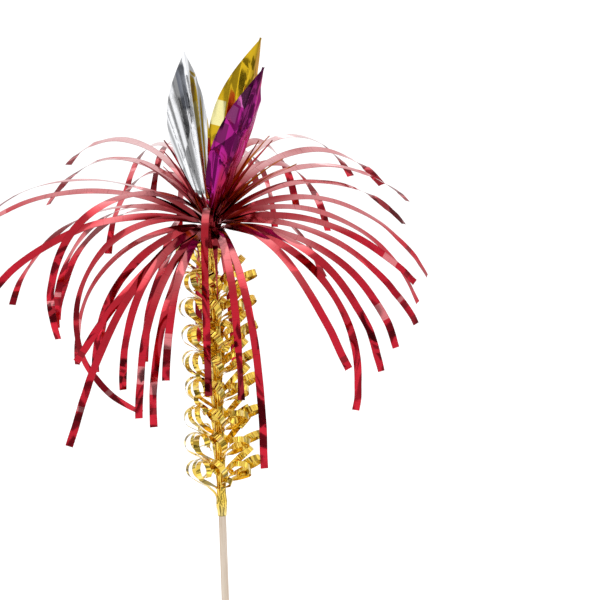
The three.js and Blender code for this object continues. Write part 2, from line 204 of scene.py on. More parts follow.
class Kinks:
    """Short folds across a strand. Each turns its direction a little, and the next turns it back."""

    def __init__(self, chance, start, end, gap, angle):
        self.folds = []
        place = start + chance.uniform(0, gap)
        sign = chance.choice((-1, 1))
        while place < end:
            self.folds.append((place, sign * angle * chance.uniform(0.4, 1)))
            sign = -sign
            place += gap * chance.uniform(0.35, 1.4)

    def __call__(self, s):
        total = 0
        for k, (place, angle) in enumerate(self.folds):
            share = smooth((s - place) / KINK_LENGTH + 0.5)
            before = self.folds[k - 1][1] if k else 0
            total += share * (angle - before)
        return total


class Film:
    """Collects sheets of thin film. Each is closed: a front face, a back face and the cut edge round them."""

    def __init__(self, thickness):
        self.half = thickness / 2
        self.points = []
        self.faces = []
        self.strand = []

    def sheet(self, rows):
        """rows: stations along the sheet, each a list of (point, normal, (along, across, seed))."""
        count = len(rows[0])
        last = len(rows) - 1
        start = len(self.points)
        back = start + len(rows) * count
        for side in (1, -1):
            for row in rows:
                for point, normal, data in row:
                    self.points.append((point + normal * (side * self.half)) * MM)
                    self.strand.append((*data, 1))
        for j in range(last):
            for i in range(count - 1):
                a = start + j * count + i
                b = back + j * count + i
                self.faces.append((a, a + 1, a + count + 1, a + count))
                self.faces.append((b, b + count, b + count + 1, b + 1))
        rim = [*range(count), *range(2 * count - 1, back - start, count)]
        rim += [*range(back - start - 2, last * count - 1, -1), *range((last - 1) * count, 0, -count)]
        for near, far in zip(rim, rim[1:] + rim[:1]):
            self.faces.append((start + far, start + near, back + near, back + far))

    def piece(self, name, material, sharp=50):
        piece = made(name, self.points, self.faces, material)
        layer = piece.data.attributes.new("strand", "FLOAT_COLOR", "POINT")
        layer.data.foreach_set("color", [value for row in self.strand for value in row])
        smoothed(piece.data, sharp)
        return piece


def linked(name, data):
    thing = bpy.data.objects.new(name, data)
    bpy.context.scene.collection.objects.link(thing)
    return thing


def made(name, points, faces, material):
    mesh = bpy.data.meshes.new(name)
    mesh.from_pydata(points, [], faces)
    mesh.materials.append(material)
    return linked(name, mesh)


def smoothed(mesh, sharp):
    """Shades a mesh smooth but for the edges sharper than the given angle."""
    mesh.shade_smooth()
    mesh.set_sharp_from_angle(angle=radians(sharp))
    mesh.validate()


def stations(root, full, steps):
    """Distances along a strand or a leaf: six on its root, then even steps to its end."""
    return [root * k / 6 for k in range(6)] + [root + (full - root) * k / steps for k in range(steps + 1)]


def follow(start, direction_at, distances):
    """Walks along a direction field and gives the point at each distance."""
    point = start.copy()
    walked = 0
    points = []
    for distance in distances:
        step = (distance - walked) / 3
        for k in range(3):
            point = point + direction_at(walked + (k + 0.5) * step) * step
        walked = distance
        points.append(point.copy())
    return points


def ribbon(root, along_at, side_at, width_at, cup_at, distances, columns, seed, reach=1, power=1):
    """The stations of a strand. cup_at: how far the film curves across its width, in degrees at its edges."""
    rows = []
    full = distances[-1]
    for point, s in zip(follow(root, along_at, distances), distances):
        along = along_at(s)
        side = side_at(s)
        across = (side - along * side.dot(along)).normalized()
        normal = across.cross(along).normalized()
        half = width_at(s) / 2
        cup = radians(cup_at(s))
        row = []
        for i in range(columns):
            share = 2 * i / (columns - 1) - 1
            rise = half * tan(cup) * (share * share - 1 / 3) / 2
            place = point + across * (share * half) + normal * rise
            slant = (normal - across * (tan(cup) * share)).normalized()
            row.append((place, slant, ((s / full) ** power * reach, (share + 1) / 2, seed)))
        rows.append(row)
    return rows


# Strands under the first share of a full one taper, and show its colours, painted shade and painted reflections
# up to the second share
SHORTEST_FREE = 0.4
SPIKE_REACH = 0.45
# Front fronds, by number: the seed that chooses their marks of painted shade and painted glint, and a power
# that makes their painted dark root shorter
FRONT_LOOKS = {9: (0.5, 0.7), 10: (0.1, 0.7), 216: (0.55, 0.85)}
# How far off the front a hanging frond still turns to face it, and the range over which this fades
FRONT_REACH = 62
FRONT_FADE = 24
# The lengths over which wander, twist and the turn at the root fade in, and over which a share of the last
# is lost again
WANDER_START = 20
TWIST_START = 30
ROOT_TURN_START = 4
ROOT_TURN_END = 45
ROOT_TURN_LOST = 0.7
# Where the kinks start and end, as shares of a frond, and from where on, over which range, it faces the front
KINKS_START = 0.72
KINKS_END = 0.99
FACING_START = 12
FACING_FADE = 25


def frond(film, settings, index, values, root, root_angle, root_width):
    turn, heading, launch, hang, roll, share, droop = (*values, 1, 1)[:7]
    chance = random.Random(index * 7919 + 11)
    full = FROND_LENGTH * share
    bend = FROND_BEND + (BAND_TURNS - 1 - turn) * FROND_STAGGER
    to_heading = (radians(heading) - root_angle + pi) % tau - pi
    spike = share < SHORTEST_FREE
    to_front = [heading - FRONT + half_turn for half_turn in (-180, 0, 180, 360)]
    facing = min(to_front, key=lambda choice: abs(choice - 2 * roll))
    front_turn = settings.front_turn * (1 - smooth((abs(facing) - FRONT_REACH) / FRONT_FADE))
    root_turn = settings.root_turn * cos(radians(heading))
    wander = Wave(chance, settings.wander, (23, 41, 67))
    twist_wander = Wave(chance, settings.twist, (29, 53, 88))
    cup_wander = Wave(chance, settings.cup, (31, 60))
    kinks = Kinks(chance, full * KINKS_START, full * KINKS_END, settings.kink_gap, settings.kink_angle)

    def heading_at(s):
        return root_angle + to_heading * smooth(s / bend)

    def slope_at(s):
        if s < bend:
            return radians(lerp(90, launch, s / bend))
        fall = hang + (launch - hang) * (1 - (s - bend) / (full - bend)) ** droop
        return radians(fall + wander(s) * smooth(s / WANDER_START) + kinks(s))

    def along_at(s):
        slope = slope_at(s)
        return outward(heading_at(s)) * cos(slope) + UP * sin(slope)

    def side_at(s):
        twist = roll * (smooth(s / FROND_FLARE) + smooth(s / full))
        twist += twist_wander(s) * smooth(s / TWIST_START)
        twist += root_turn * smooth(s / ROOT_TURN_START) * (1 - ROOT_TURN_LOST * smooth(s / ROOT_TURN_END))
        hanging = smooth(-sin(slope_at(s)) * 1.6 - 0.3) * smooth((s - FACING_START) / FACING_FADE)
        twist = lerp(twist, facing + twist_wander(s) * settings.hanging_twist, front_turn * hanging)
        return turned(sideways(heading_at(s)), along_at(s), radians(twist))

    def width_at(s):
        width = lerp(max(root_width, settings.root_width), settings.width, smooth(s / settings.flare))
        return width * (1 - settings.spike_taper * smooth(s / full)) if spike else width

    distances = stations(bend, full, settings.steps)
    seed, power = FRONT_LOOKS.get(index, (chance.random(), 1))
    reach = SPIKE_REACH if spike else 1
    film.sheet(ribbon(root, along_at, side_at, width_at, cup_wander, distances, 5, seed, reach, power))


def band_radius(seat, angle):
    return seat + SOLID_THICKNESS / 2 + BAND_GROWTH * angle / tau


def frond_strip(name, fronds, seat, height, settings, material, first):
    """A crown strip: its wound band, and each frond at the free stretch nearest to its heading."""
    film = Film(settings.thickness)
    steps = BAND_TURNS * WRAP_SIDES * 2
    levels = [(UP * (CROWN_BASE + height * i / 4), (BAND_ALONG, i / 4, 0.5)) for i in range(5)]
    rows = []
    for k in range(steps + 1):
        angle = k / steps * BAND_TURNS * tau
        away = outward(angle)
        rows.append([(away * band_radius(seat, angle) + level, -away, data) for level, data in levels])
    film.sheet(rows)
    taken = set()
    for index, values in enumerate(fronds):
        turn, heading = values[:2]
        stretches = [turn * WRAP_SIDES + i for i in range(WRAP_SIDES)]

        def aside(i):
            return abs(((i + 0.5) * 360 / WRAP_SIDES - heading + 180) % 360 - 180)

        chosen = min((i for i in stretches if i not in taken), key=aside)
        taken.add(chosen)
        angle = (chosen + 0.5) / WRAP_SIDES * tau
        radius = band_radius(seat, angle)
        root = outward(angle) * radius + UP * (CROWN_BASE + height)
        frond(film, settings, first + index, values, root, angle, radius * tau / WRAP_SIDES)
    piece = film.piece(name.replace("strip", "film"), material)
    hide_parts(name)
    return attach(piece, ROOT)


def curl(film, settings, index, reach, root, root_angle, root_width):
    chance = random.Random(index * 104729 + 5)
    lying = (1 + cos(root_angle)) / 2
    rise = radians(lerp(CURL_RISE_LEFT, CURL_RISE_RIGHT, lying) + RISE_SPREAD * spread(index, 1))
    tilt = radians(lerp(0, CURL_TILT_RIGHT, lying) + TILT_SPREAD * spread(index, 2))
    straight = (CURL_STRAIGHT + STRAIGHT_SPREAD * spread(index, 4)) * reach
    full = straight + CURL_RADIUS * reach * radians(CURL_TURN + TURN_SPREAD * spread(index, 3))
    bar = outward(root_angle) * cos(rise) + UP * sin(rise)
    above = UP * cos(rise) - outward(root_angle) * sin(rise)
    scroll = turned(above, bar, tilt)
    cup_wander = Wave(chance, settings.cup, (9, 17))
    twist_wander = Wave(chance, settings.curl_twist, (11, 19))

    def along_at(s):
        if s < straight:
            return UP.lerp(bar, smooth(s / (straight * 0.4))).normalized()
        angle = (s - straight) / (CURL_RADIUS * reach)
        return bar * cos(angle) + scroll * sin(angle)

    def side_at(s):
        side = turned(sideways(root_angle), bar, tilt * smooth(s / straight))
        return turned(side, along_at(s), radians(twist_wander(s) * smooth(s / straight)))

    def width_at(s):
        return lerp(root_width, settings.curl_width, smooth(s / (straight * 0.6)))

    distances = [full * k / settings.curl_steps for k in range(settings.curl_steps + 1)]
    film.sheet(ribbon(root, along_at, side_at, width_at, cup_wander, distances, 4, chance.random()))


# The bulge above the wrap's foot: the height over which it rises, where it ends, and over which it falls
BULGE_RISE = 4.5
BULGE_END = 7
BULGE_FALL = 3
# How many steps the wrap has to a side, the first side with film, and its strips from edge to edge
WRAP_STEPS = 4
FIRST_SIDE = 2
WRAP_STRIPS = 8


def trunk(settings, material):
    """The trunk strip: the spiral wrap, cut level at both ends, and the curled strands of its upper edge."""
    film = Film(settings.thickness)
    wide = TRUNK_PITCH + WRAP_OVERLAP
    chance = random.Random(17)
    lumps = [Wave(chance, settings.lump, (1.7, 3.1, 5.3)) for _ in range(2)]

    def wrap_point(turn, share):
        angle = turn * tau
        foot = TRUNK_FOOT + (turn - 1) * TRUNK_PITCH
        low, high = max(TRUNK_FOOT, foot), min(TRUNK_TOP, foot + wide)
        z = lerp(low, high, share)
        bulge = settings.foot_bulge * smooth((z - TRUNK_FOOT) / BULGE_RISE)
        bulge *= smooth((TRUNK_FOOT + BULGE_END - z) / BULGE_FALL)
        lump = lumps[0](angle * 1.3 + z) + lumps[1](angle * 2.7 - z)
        radius = FILM_SEAT + SOLID_THICKNESS / 2 + BAND_GROWTH * (z - foot) / wide + bulge + lump
        return outward(angle) * radius + UP * z

    rows = []
    shares = [i / WRAP_STRIPS for i in range(WRAP_STRIPS + 1)]
    for k in range(FIRST_SIDE * WRAP_STEPS, ((TRUNK_TURNS + 1) * WRAP_SIDES - 1) * WRAP_STEPS + 1):
        turn = k / WRAP_STEPS / WRAP_SIDES
        inward = -outward(turn * tau)
        rows.append([(wrap_point(turn, share), inward, (BAND_ALONG, share, turn % 1)) for share in shares])
    film.sheet(rows)
    first = round(PLAIN_TURNS_BELOW * WRAP_SIDES)
    last = round((TRUNK_TURNS + 1 - PLAIN_TURNS_ABOVE) * WRAP_SIDES)
    for i in range(first, last + 1):
        turn = (i + 0.5) / WRAP_SIDES
        root = wrap_point(turn, 1)
        root_width = hypot(root.x, root.y) * tau / WRAP_SIDES
        between = (i - first) % 2
        if between and (i * GOLDEN_SHARE) % 1 > settings.more_curls:
            continue
        reach = lerp(settings.short_curl, 0.8, (i * GOLDEN_SHARE * 3) % 1) if between else 1
        curl(film, settings, (i - first) / 2, reach, root, turn * tau, root_width)
    piece = film.piece("trunk_film", material)
    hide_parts("trunk_fringe")
    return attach(piece, ROOT)


def pleated(pleats, turn):
    """A zigzag of straight flanks through the pleats, given as (turn, height)."""
    for (turn0, height0), (turn1, height1) in zip(pleats, pleats[1:]):
        if turn0 <= turn < turn1:
            return lerp(height0, height1, (turn - turn0) / (turn1 - turn0))
    return 0


def fan_of_pleats(chance, count, widest, steepness):
    """Pleats that fan out from a leaf's tail, each with a flank slope near the given one."""
    gaps = [chance.uniform(0.5, 1.5) for _ in range(2 * count)]
    turns = [sum(gaps[:k]) / sum(gaps) * 2 * widest - widest for k in range(2 * count + 1)]
    heights = [0]
    for k in range(1, 2 * count + 1):
        slope = steepness * chance.uniform(0.4, 1) * (-1) ** k
        heights.append(heights[-1] * 0.5 + slope * (turns[k] - turns[k - 1]) / 2)
    return list(zip(turns, heights))


def creased(creases, s, reach):
    """How far creases lift the film. Each is a line through (s, reach) at an angle, with a slope."""
    lift = 0
    for place, aside, angle, slope, spread_over in creases:
        turn = radians(angle)
        away = abs((s - place) * sin(turn) + (reach - aside) * cos(turn))
        lift += slope * spread_over * (1 - exp(-away / spread_over))
    return lift


# How far the pleats of a leaf reach to each side of its fold, as a slope, and how near its tail they start
FAN_REACH = 0.36
FAN_START = 6
# How many pleats each leaf has on a side, and how steep their flanks are
PLEATS = {"silver": (7, 0.3), "gold": (4, 0.14), "magenta": (5, 0.13)}
# Where the lift of pleats and creases starts to fade and over which range, as shares of the leaf, and how
# much of it goes
LIFT_FADE = 0.86
LIFT_RANGE = 0.2
LIFT_LOST = 0.8

# Creases of each leaf: distance along it, distance from its fold, angle to the fold, slope, reach.
CREASES = {
    "silver_leaf": [(57, 1, 70, -0.16, 3), (60, -3, 50, 0.12, 2), (26, -6, -20, -0.05, 3)],
    "gold_leaf": [
        (26, -4, 35, 0.05, 6), (36, -5, -50, -0.06, 5), (47, -3, 28, 0.06, 5), (57, 0, 60, -0.14, 5),
        (18, -3, -20, 0.12, 5), (40, 3, 15, -0.12, 5),
    ],
    "magenta_leaf": [
        (44, -5, 55, 0.18, 5), (38, -4, -28, -0.16, 5), (31, -5, 64, 0.16, 4), (52, -2, 30, -0.14, 4),
        (22, -4, 12, 0.14, 4), (60, 0, 70, 0.12, 4), (34, 3, 8, -0.12, 4), (15, -1, 25, -0.1, 4),
    ],
}


def leaf(name, settings, material, pleats, seed):
    long, wide, belly, fold, seat, heading, lean, facing = LEAVES[name]
    chance = random.Random(seed)
    length = LEAF_LENGTH * long
    clasp = radians(LEAF_CLASP) * TAIL_RADIUS
    slope = radians((180 - fold) / 2)
    fan = fan_of_pleats(chance, pleats[0], FAN_REACH, pleats[1])
    crinkle = Wave(chance, settings.leaf_crinkle, (7, 12, 21))
    start = outward(radians(seat)) * TAIL_RADIUS + UP * (CROWN_TOP - LEAF_TAIL)

    def along_at(s):
        rise = radians(90 - lean * smooth((s - LEAF_TAIL) / LEAF_NECK))
        return outward(radians(heading)) * cos(rise) + UP * sin(rise)

    def lift_at(s, reach):
        lift = pleated(fan, reach / max(FAN_START, s)) * s
        lift += creased(CREASES[name], s, reach) + crinkle(s * 0.5 + reach * 2)
        return lift * (1 - LIFT_LOST * smooth((s / length - LIFT_FADE) / LIFT_RANGE))

    rows = []
    columns = settings.leaf_columns
    distances = stations(LEAF_TAIL, LEAF_TAIL + length, settings.leaf_steps)
    film = Film(settings.thickness)
    for point, s in zip(follow(start, along_at, distances), distances):
        share = min(1, max(0, (s - LEAF_TAIL) / length))
        opened = smooth(share / LEAF_OPENING)
        lens = LEAF_WIDTH * wide * sin(pi * share**belly)
        half = max(lerp(clasp, 0, smooth(share / TAIL_FADE)), lens, LEAF_TIP) / 2
        front = outward(radians(lerp(seat, facing, opened)))
        along = along_at(s)
        ridge = (front - along * front.dot(along)).normalized()
        across = along.cross(ridge).normalized()
        row = []
        for i in range(columns):
            column = 2 * i / (columns - 1) - 1
            reach = column * half
            arc = reach / TAIL_RADIUS
            clasped = ridge * (TAIL_RADIUS * (cos(arc) - 1)) + across * (TAIL_RADIUS * sin(arc))
            folded = across * (reach * cos(slope)) - ridge * (abs(reach) * sin(slope))
            slant = lerp(arc, copysign(slope, column) * min(1, abs(column) * 12), opened)
            normal = ridge * cos(slant) + across * sin(slant)
            fade = opened * min(1, abs(reach) / 1.2)
            shift = normal * (lift_at(s, reach) * fade)
            place = clasped.lerp(folded, opened) + point + shift
            fan_place = 0.5 + reach / max(FAN_START, s) / (4 * FAN_REACH)
            row.append((place, normal, (share, (column + 1) / 2, fan_place)))
        rows.append(row)
    film.sheet(rows)
    piece = film.piece(name + "_film", material, 12)
    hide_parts(name)
    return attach(piece, ROOT)


# The point of the stick: share of the radius and share of the point's length
POINT_PROFILE = [(0.12, 0), (0.2, 0.05), (0.62, 0.5), (0.92, 0.86), (0.985, 1.0), (1, 1.12)]
POINT_LENGTH = 9
STICK_STEP = 2.5
STICK_SIDES = 40
TOP_ROUNDING = 0.2
TOP_SHARE = 0.85


def stick(settings, material):
    """The birch stick: a round dowel, sharpened at its foot, with slightly uneven sides."""
    chance = random.Random(3)
    uneven = [Wave(chance, settings.unevenness, (17, 39, 90)) for _ in range(3)]
    heights = [z * POINT_LENGTH for _, z in POINT_PROFILE]
    low = heights[-1]
    heights += [low + STICK_STEP * k for k in range(1, int((STICK_TOP - low) / STICK_STEP))]
    heights += [STICK_TOP - TOP_ROUNDING, STICK_TOP]
    points, faces = [], []
    for z in heights:
        share = TOP_SHARE if z == STICK_TOP else 1
        for (r0, z0), (r1, z1) in zip(POINT_PROFILE, POINT_PROFILE[1:]):
            if z0 <= z / POINT_LENGTH <= z1:
                share = lerp(r0, r1, (z / POINT_LENGTH - z0) / (z1 - z0))
        for k in range(STICK_SIDES):
            angle = tau * k / STICK_SIDES
            swell = uneven[0](z) * cos(angle) + uneven[1](z) * sin(2 * angle)
            swell += uneven[2](z + angle * 4)
            radius = STICK_RADIUS * share * (0.985 + swell)
            points.append((outward(angle) * radius + UP * z) * MM)
    top = len(points) - STICK_SIDES
    for low in range(0, top, STICK_SIDES):
        for k in range(STICK_SIDES):
            a, b = low + k, low + (k + 1) % STICK_SIDES
            faces.append((a, b, b + STICK_SIDES, a + STICK_SIDES))
    faces.append(tuple(reversed(range(STICK_SIDES))))
    faces.append(tuple(range(top, len(points))))
    piece = made("birch_stick", points, faces, material)
    smoothed(piece.data, 40)
    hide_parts("wooden_stick")
    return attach(piece, ROOT)


class Wire:
    """An output socket in a node tree. Sums, differences and products written with it add Math nodes."""

    def __init__(self, graph, socket):
        self.graph = graph
        self.socket = socket

    def __add__(self, other):
        return self.graph.maths("ADD", self, other)

    def __sub__(self, other):
        return self.graph.maths("SUBTRACT", self, other)

    def __rsub__(self, other):
        return self.graph.maths("SUBTRACT", other, self)

    def __mul__(self, other):
        return self.graph.maths("MULTIPLY", self, other)

    __radd__ = __add__
    __rmul__ = __mul__

    def near(self, place, reach, soft):
        """1 within reach of a place, 0 beyond it."""
        return 1 - self.graph.maths("ABSOLUTE", self - place).between(reach, reach + soft)

    def between(self, low, high):
        """0 below low, 1 above high, and smooth in between."""
        settings = {"interpolation_type": "SMOOTHSTEP"}
        return self.graph.node("MapRange", settings, self, low, high)

    def window(self, rise, top, fall, end):
        """0, then 1 between top and fall, then 0 from end on."""
        return self.between(rise, top) * (1 - self.between(fall, end))


class Graph:
    """A material's or the world's node tree, started empty."""

    def __init__(self, owner):
        owner.use_nodes = True
        self.tree = owner.node_tree
        self.tree.nodes.clear()

    def node(self, kind, settings=None, *values, out=0, **named):
        """Adds a node, sets it, fills its sockets in order and by name, and gives one of its outputs."""
        node = self.tree.nodes.new("ShaderNode" + kind)
        for key, value in (settings or {}).items():
            setattr(node, key, value)
        sockets = [(node.inputs[k], value) for k, value in enumerate(values)]
        sockets += [(node.inputs[key.replace("_", " ")], value) for key, value in named.items()]
        for socket, value in sockets:
            if isinstance(value, Wire):
                self.tree.links.new(value.socket, socket)
            elif value is not None:
                socket.default_value = value
        return Wire(self, node.outputs[out] if len(node.outputs) else None)

    def maths(self, operation, *values):
        return self.node("Math", {"operation": operation}, *values)

    def outputs(self, wire):
        """All outputs of the node that a wire leaves."""
        return [Wire(self, socket) for socket in wire.socket.node.outputs]

    def mix(self, share, first, second):
        tints = [tint if isinstance(tint, Wire) else (*tint, 1) for tint in (first, second)]
        return self.node("Mix", {"data_type": "RGBA"}, share, *[None] * 5, *tints, out=2)

    def layered(self, tint, layers):
        """Lays colours over a tint in order, each by its share."""
        for share, colour in layers:
            tint = self.mix(share, tint, colour)
        return tint

    def noise(self, place, scale, detail, roughness=0.5):
        return self.node("TexNoise", None, place, None, scale, detail, roughness)

    def bump(self, strength, distance, height):
        return self.node("Bump", None, Strength=strength, Distance=distance, Height=height)

    def finish(self, surface, kind="OutputMaterial"):
        self.node(kind, None, surface)

    def principled(self, **sockets):
        self.finish(self.node("BsdfPrincipled", None, **sockets))


def started(name):
    """A new material, its empty graph, and the place on the piece in metres."""
    material = bpy.data.materials.new(name)
    graph = Graph(material)
    return material, graph, graph.node("TexCoord", out=3)


def scaled(colour, share):
    return tuple(min(1, value * share) for value in colour)


def frond_tints(graph, tint, along, seed, height, settings):
    """Painted light on a frond: deep red painted shade at the root, a washed-out painted reflection where it
    lies flat, a painted highlight on the highest arcs, and painted dark folds and pale blocks of painted glint
    near its tip.
    """
    level = graph.node("SeparateXYZ", None, graph.node("NewGeometry", out=1), out=2)
    level = graph.maths("ABSOLUTE", level)
    # Painted reflection of the bright studio: paler where the film faces up or rises, and more so on the higher
    # fronds
    rising = level.between(0.42, 0.97) * along.between(0.12, 0.36)
    flat = rising + level.between(0.93, 1) * (1 - along.between(0.1, 0.36)) * seed.between(0.56, 0.66)
    high = height.between((CROWN_TOP - 34) * MM, (CROWN_TOP + 2) * MM)
    # Painted highlight on top of the highest arcs
    glare = height.between((CROWN_TOP + 8) * MM, (CROWN_TOP + 26) * MM) * level.between(0.5, 0.9)
    # Near the tip: a dark fold of painted shade with a painted glint beside it, a pale patch of painted glint,
    # and a dark end of painted shade
    fold = seed * 0.1 + 0.86
    shaded = along.near(fold, 0.012, 0.003) * (1 - seed.near(0.2, 0.1, 0.01))
    lit = along.near(fold - 0.03, 0.008, 0.003) * seed.near(0.35, 0.14, 0.01)
    glint_block = along.near(seed * 0.12 + 0.74, 0.035, 0.004) * seed.near(0.75, 0.12, 0.01)
    shaded_end = (along + seed).between(1.4, 1.41) * seed.near(0.45, 0.16, 0.01)
    layers = [
        # Painted shade at the root
        ((1 - along.between(0.1, 0.46)) * 0.95, settings.red_painted_shade),
        (flat * (high * 0.58 + 0.2), settings.red_arch_reflection),
        (glare * 0.7, settings.red_glare),
        (along.between(0.55, 0.8) * 0.6, settings.red_tip),
        (shaded * 0.75, settings.red_painted_shade),
        (lit * 0.7, settings.red_glint),
        (glint_block * 0.65, settings.red_glint),
        (shaded_end * 0.9, settings.red_painted_shade),
    ]
    return graph.layered(tint, layers)


def curl_tints(graph, tint, along, seed, height, settings):
    """Two dark folds of painted shade and a pale one of painted highlight across a curl, and a paler foot of
    the wrap.
    """
    # Place of a dark fold of painted shade, with a painted highlight just beyond it
    fold = seed * 0.25 + 0.4
    foot = 1 - height.between(TRUNK_FOOT * MM, (TRUNK_FOOT + 6) * MM)
    layers = [
        (along.near(fold, 0.03, 0.006) * 0.75, settings.gold_painted_shade),
        (along.near(fold + 0.06, 0.016, 0.006) * 0.6, settings.gold_pale),
        (along.near(1.3 - fold, 0.022, 0.006) * seed.between(0.3, 0.35) * 0.7, settings.gold_painted_shade),
        (foot * 0.55, settings.gold_pale),
    ]
    return graph.layered(tint, layers)


# Painted reflections of each leaf's pleats: tones of the bands along them, by their place across its fan of
# pleats, which has the fold at 0.5
PLEAT_REFLECTIONS = {
    "silver": [
        (0, 0.7), (0.24, 0.62), (0.25, 1), (0.29, 1), (0.296, 0.5), (0.305, 0.55), (0.31, 1),
        (0.337, 1), (0.342, 0.32), (0.352, 0.4), (0.358, 1), (0.384, 1), (0.39, 0.16), (0.401, 0.22),
        (0.406, 1), (0.424, 0.9), (0.43, 0.12), (0.455, 0.15), (0.462, 0.5), (0.475, 1), (0.5, 1),
        (0.515, 0.85), (0.52, 0.25), (0.545, 0.3), (0.55, 0.8), (0.575, 0.15), (0.61, 0.25), (0.62, 0.9),
    ],
    "gold": [
        (0, 0.6), (0.3, 0.8), (0.36, 1.1), (0.42, 0.95), (0.45, 1.2), (0.5, 0.9), (0.53, 0.6), (0.6, 1),
    ],
    "magenta": [
        (0, 0.8), (0.3, 1.1), (0.36, 0.8), (0.4, 1.2), (0.45, 0.9), (0.5, 1.1), (0.54, 1.7), (0.6, 2),
    ],
}
# Painted facets of each leaf, pale ones as painted highlights, dark ones as painted shade and red ones on the
# magenta leaf as painted reflections of the red film: where they rise and fall along it and across its fan,
# their share and colour
FACETS = {
    "silver": [((0.65, 0.68, 0.92, 0.95), (0.449, 0.454, 0.486, 0.491), 0.85, "silver_painted_shade")],
    "gold": [
        ((0.491, 0.495, 0.625, 0.629), (0.33, 0.332, 0.41, 0.412), 0.95, "gold_glint"),
        ((0.68, 0.86, 2, 3), (0.488, 0.5, 0.53, 0.55), 0.6, "gold_painted_shade"),
    ],
    "magenta": [
        ((0.736, 0.74, 0.86, 0.864), (0.443, 0.445, 0.485, 0.487), 0.85, "magenta_painted_highlight"),
        ((0.616, 0.62, 0.72, 0.724), (0.403, 0.405, 0.455, 0.457), 0.6, "magenta_painted_highlight"),
        ((0.466, 0.47, 0.59, 0.594), (0.353, 0.355, 0.425, 0.427), 0.8, "magenta_painted_shade"),
        ((0.3, 0.45, 2, 3), (0.475, 0.481, 0.509, 0.515), 0.7, "magenta_painted_shade"),
        ((0.86, 0.88, 2, 3), (0.52, 0.525, 2, 3), 0.8, "red_tip"),
        ((-2, -1, 0.24, 0.5), (0.41, 0.45, 2, 3), 0.8, "magenta_foot_red_reflection"),
    ],
}


def leaf_tints(graph, leaf_colour, tint, colour, along, fan, settings):
    """Painted reflections of the pleats as paler and darker bands along them, the pale and dark facets of each
    leaf as painted highlights and painted shade, and red patches on the magenta leaf as painted reflections of
    the red film.
    """
    pleat_reflections = graph.node("ValToRGB", None, fan)
    stops = pleat_reflections.socket.node.color_ramp.elements
    while len(stops) < len(PLEAT_REFLECTIONS[leaf_colour]):
        stops.new(0.5)
    for stop, (place, tone) in zip(stops, PLEAT_REFLECTIONS[leaf_colour]):
        stop.position = place
        stop.color = (*scaled(colour, tone), 1)
    layers = [(0.85, pleat_reflections)]
    for rows, columns, share, key in FACETS[leaf_colour]:
        layers.append((along.window(*rows) * fan.window(*columns) * share, getattr(settings, key)))
    return graph.layered(tint, layers)


def film_finish(name, colour, settings, kind):
    """Metallised film: a mirror under a coloured lacquer, with fine creases and faint scuffs. Painted
    reflections, painted highlights and painted shade lie in its base colour, and painted shade along its
    creases.
    """
    material, graph, place = started(name)
    strand = graph.node("Attribute", {"attribute_name": "strand"})
    along, across, seed = graph.outputs(graph.node("SeparateColor", None, strand))[:3]
    height = graph.node("SeparateXYZ", None, place, out=2)
    cloud = graph.noise(place, 160, 3)
    fine = graph.noise(place, 900, 2)
    tint = graph.mix(cloud.between(0.3, 0.7), scaled(colour, 0.86), scaled(colour, 1.12))
    relief = cloud * 0.6
    edge_share = 0.2
    glancing = (1, 1, 1)
    if kind == "frond":
        way = along * 36 + seed * 90
        folds = graph.node("TexNoise", {"noise_dimensions": "1D"}, W=way, Detail=0)
        shaded_crease = folds.near(0.5, 0.006, 0.006)
        tint = frond_tints(graph, tint, along, seed, height, settings)
        # Painted shade: the film darkens along its fine creases
        tint = graph.mix(shaded_crease * 0.5, tint, scaled(colour, 0.35))
        relief = relief + fine * 0.05 + shaded_crease * 0.1
        edge_share = 0.5
    elif kind == "leaf":
        tint = leaf_tints(graph, name.removesuffix("_leaf_foil"), tint, colour, along, seed, settings)
        relief = relief + fine * 0.02
        glancing = scaled(colour, 1.4)
    else:
        tint = curl_tints(graph, tint, along, seed, height, settings)
    edge = (1 - across.near(0.5, 0.43, 0.05)) * edge_share
    graph.principled(
        Base_Color=graph.mix(edge, tint, scaled(colour, 0.4)),
        Metallic=1,
        Roughness=fine.between(0.2, 0.8) * 0.06 + settings.roughness,
        Specular_Tint=(*glancing, 1),
        Coat_Weight=settings.lacquer,
        Coat_Roughness=0.1,
        Coat_IOR=1.5,
        Normal=graph.bump(settings.crinkle, 0.0002, relief),
    )
    return material


def birch_finish(settings):
    """Unvarnished birch: pale, with fine darker streaks along the stick."""
    material, graph, place = started("birch")
    stretched = graph.node("Mapping", None, place, Scale=(1, 1, 0.035))
    grain = graph.noise(stretched, 2600, 4, 0.6)
    bands = graph.noise(stretched, 700, 2)
    pores = graph.noise(stretched, 5200, 1)
    wood = graph.mix(bands.between(0.35, 0.7), settings.birch, settings.streak)
    wood = graph.mix(grain.between(0.5, 0.78) * 0.6, wood, settings.pore)
    bump = graph.bump(0.35, 0.0001, grain * 0.5 + pores * 0.5)
    graph.principled(Base_Color=wood, Roughness=grain * 0.2 + 0.55, Normal=bump)
    return material


def tape_finish(settings):
    """Clear tape, a little milky, with tiny bubbles under it."""
    material, graph, place = started("clear_tape")
    bubbles = graph.noise(place, 2400, 2).between(0.58, 0.66)
    tone = graph.mix(bubbles, settings.tape, scaled(settings.tape, 0.8))
    graph.principled(Base_Color=tone, Roughness=bubbles * 0.3 + 0.2, Normal=graph.bump(0.3, 0.0001, bubbles))
    return material


def short_form(kind, **fixed):
    """A property of one kind, written as its name, description and default."""
    return lambda name, about, default: kind(name=name, description=about, default=default, **fixed)


number = short_form(FloatProperty)
factor = short_form(FloatProperty, min=0, max=1, subtype="FACTOR")
whole = short_form(IntProperty, min=2)
shade = short_form(FloatVectorProperty, size=3, subtype="COLOR")


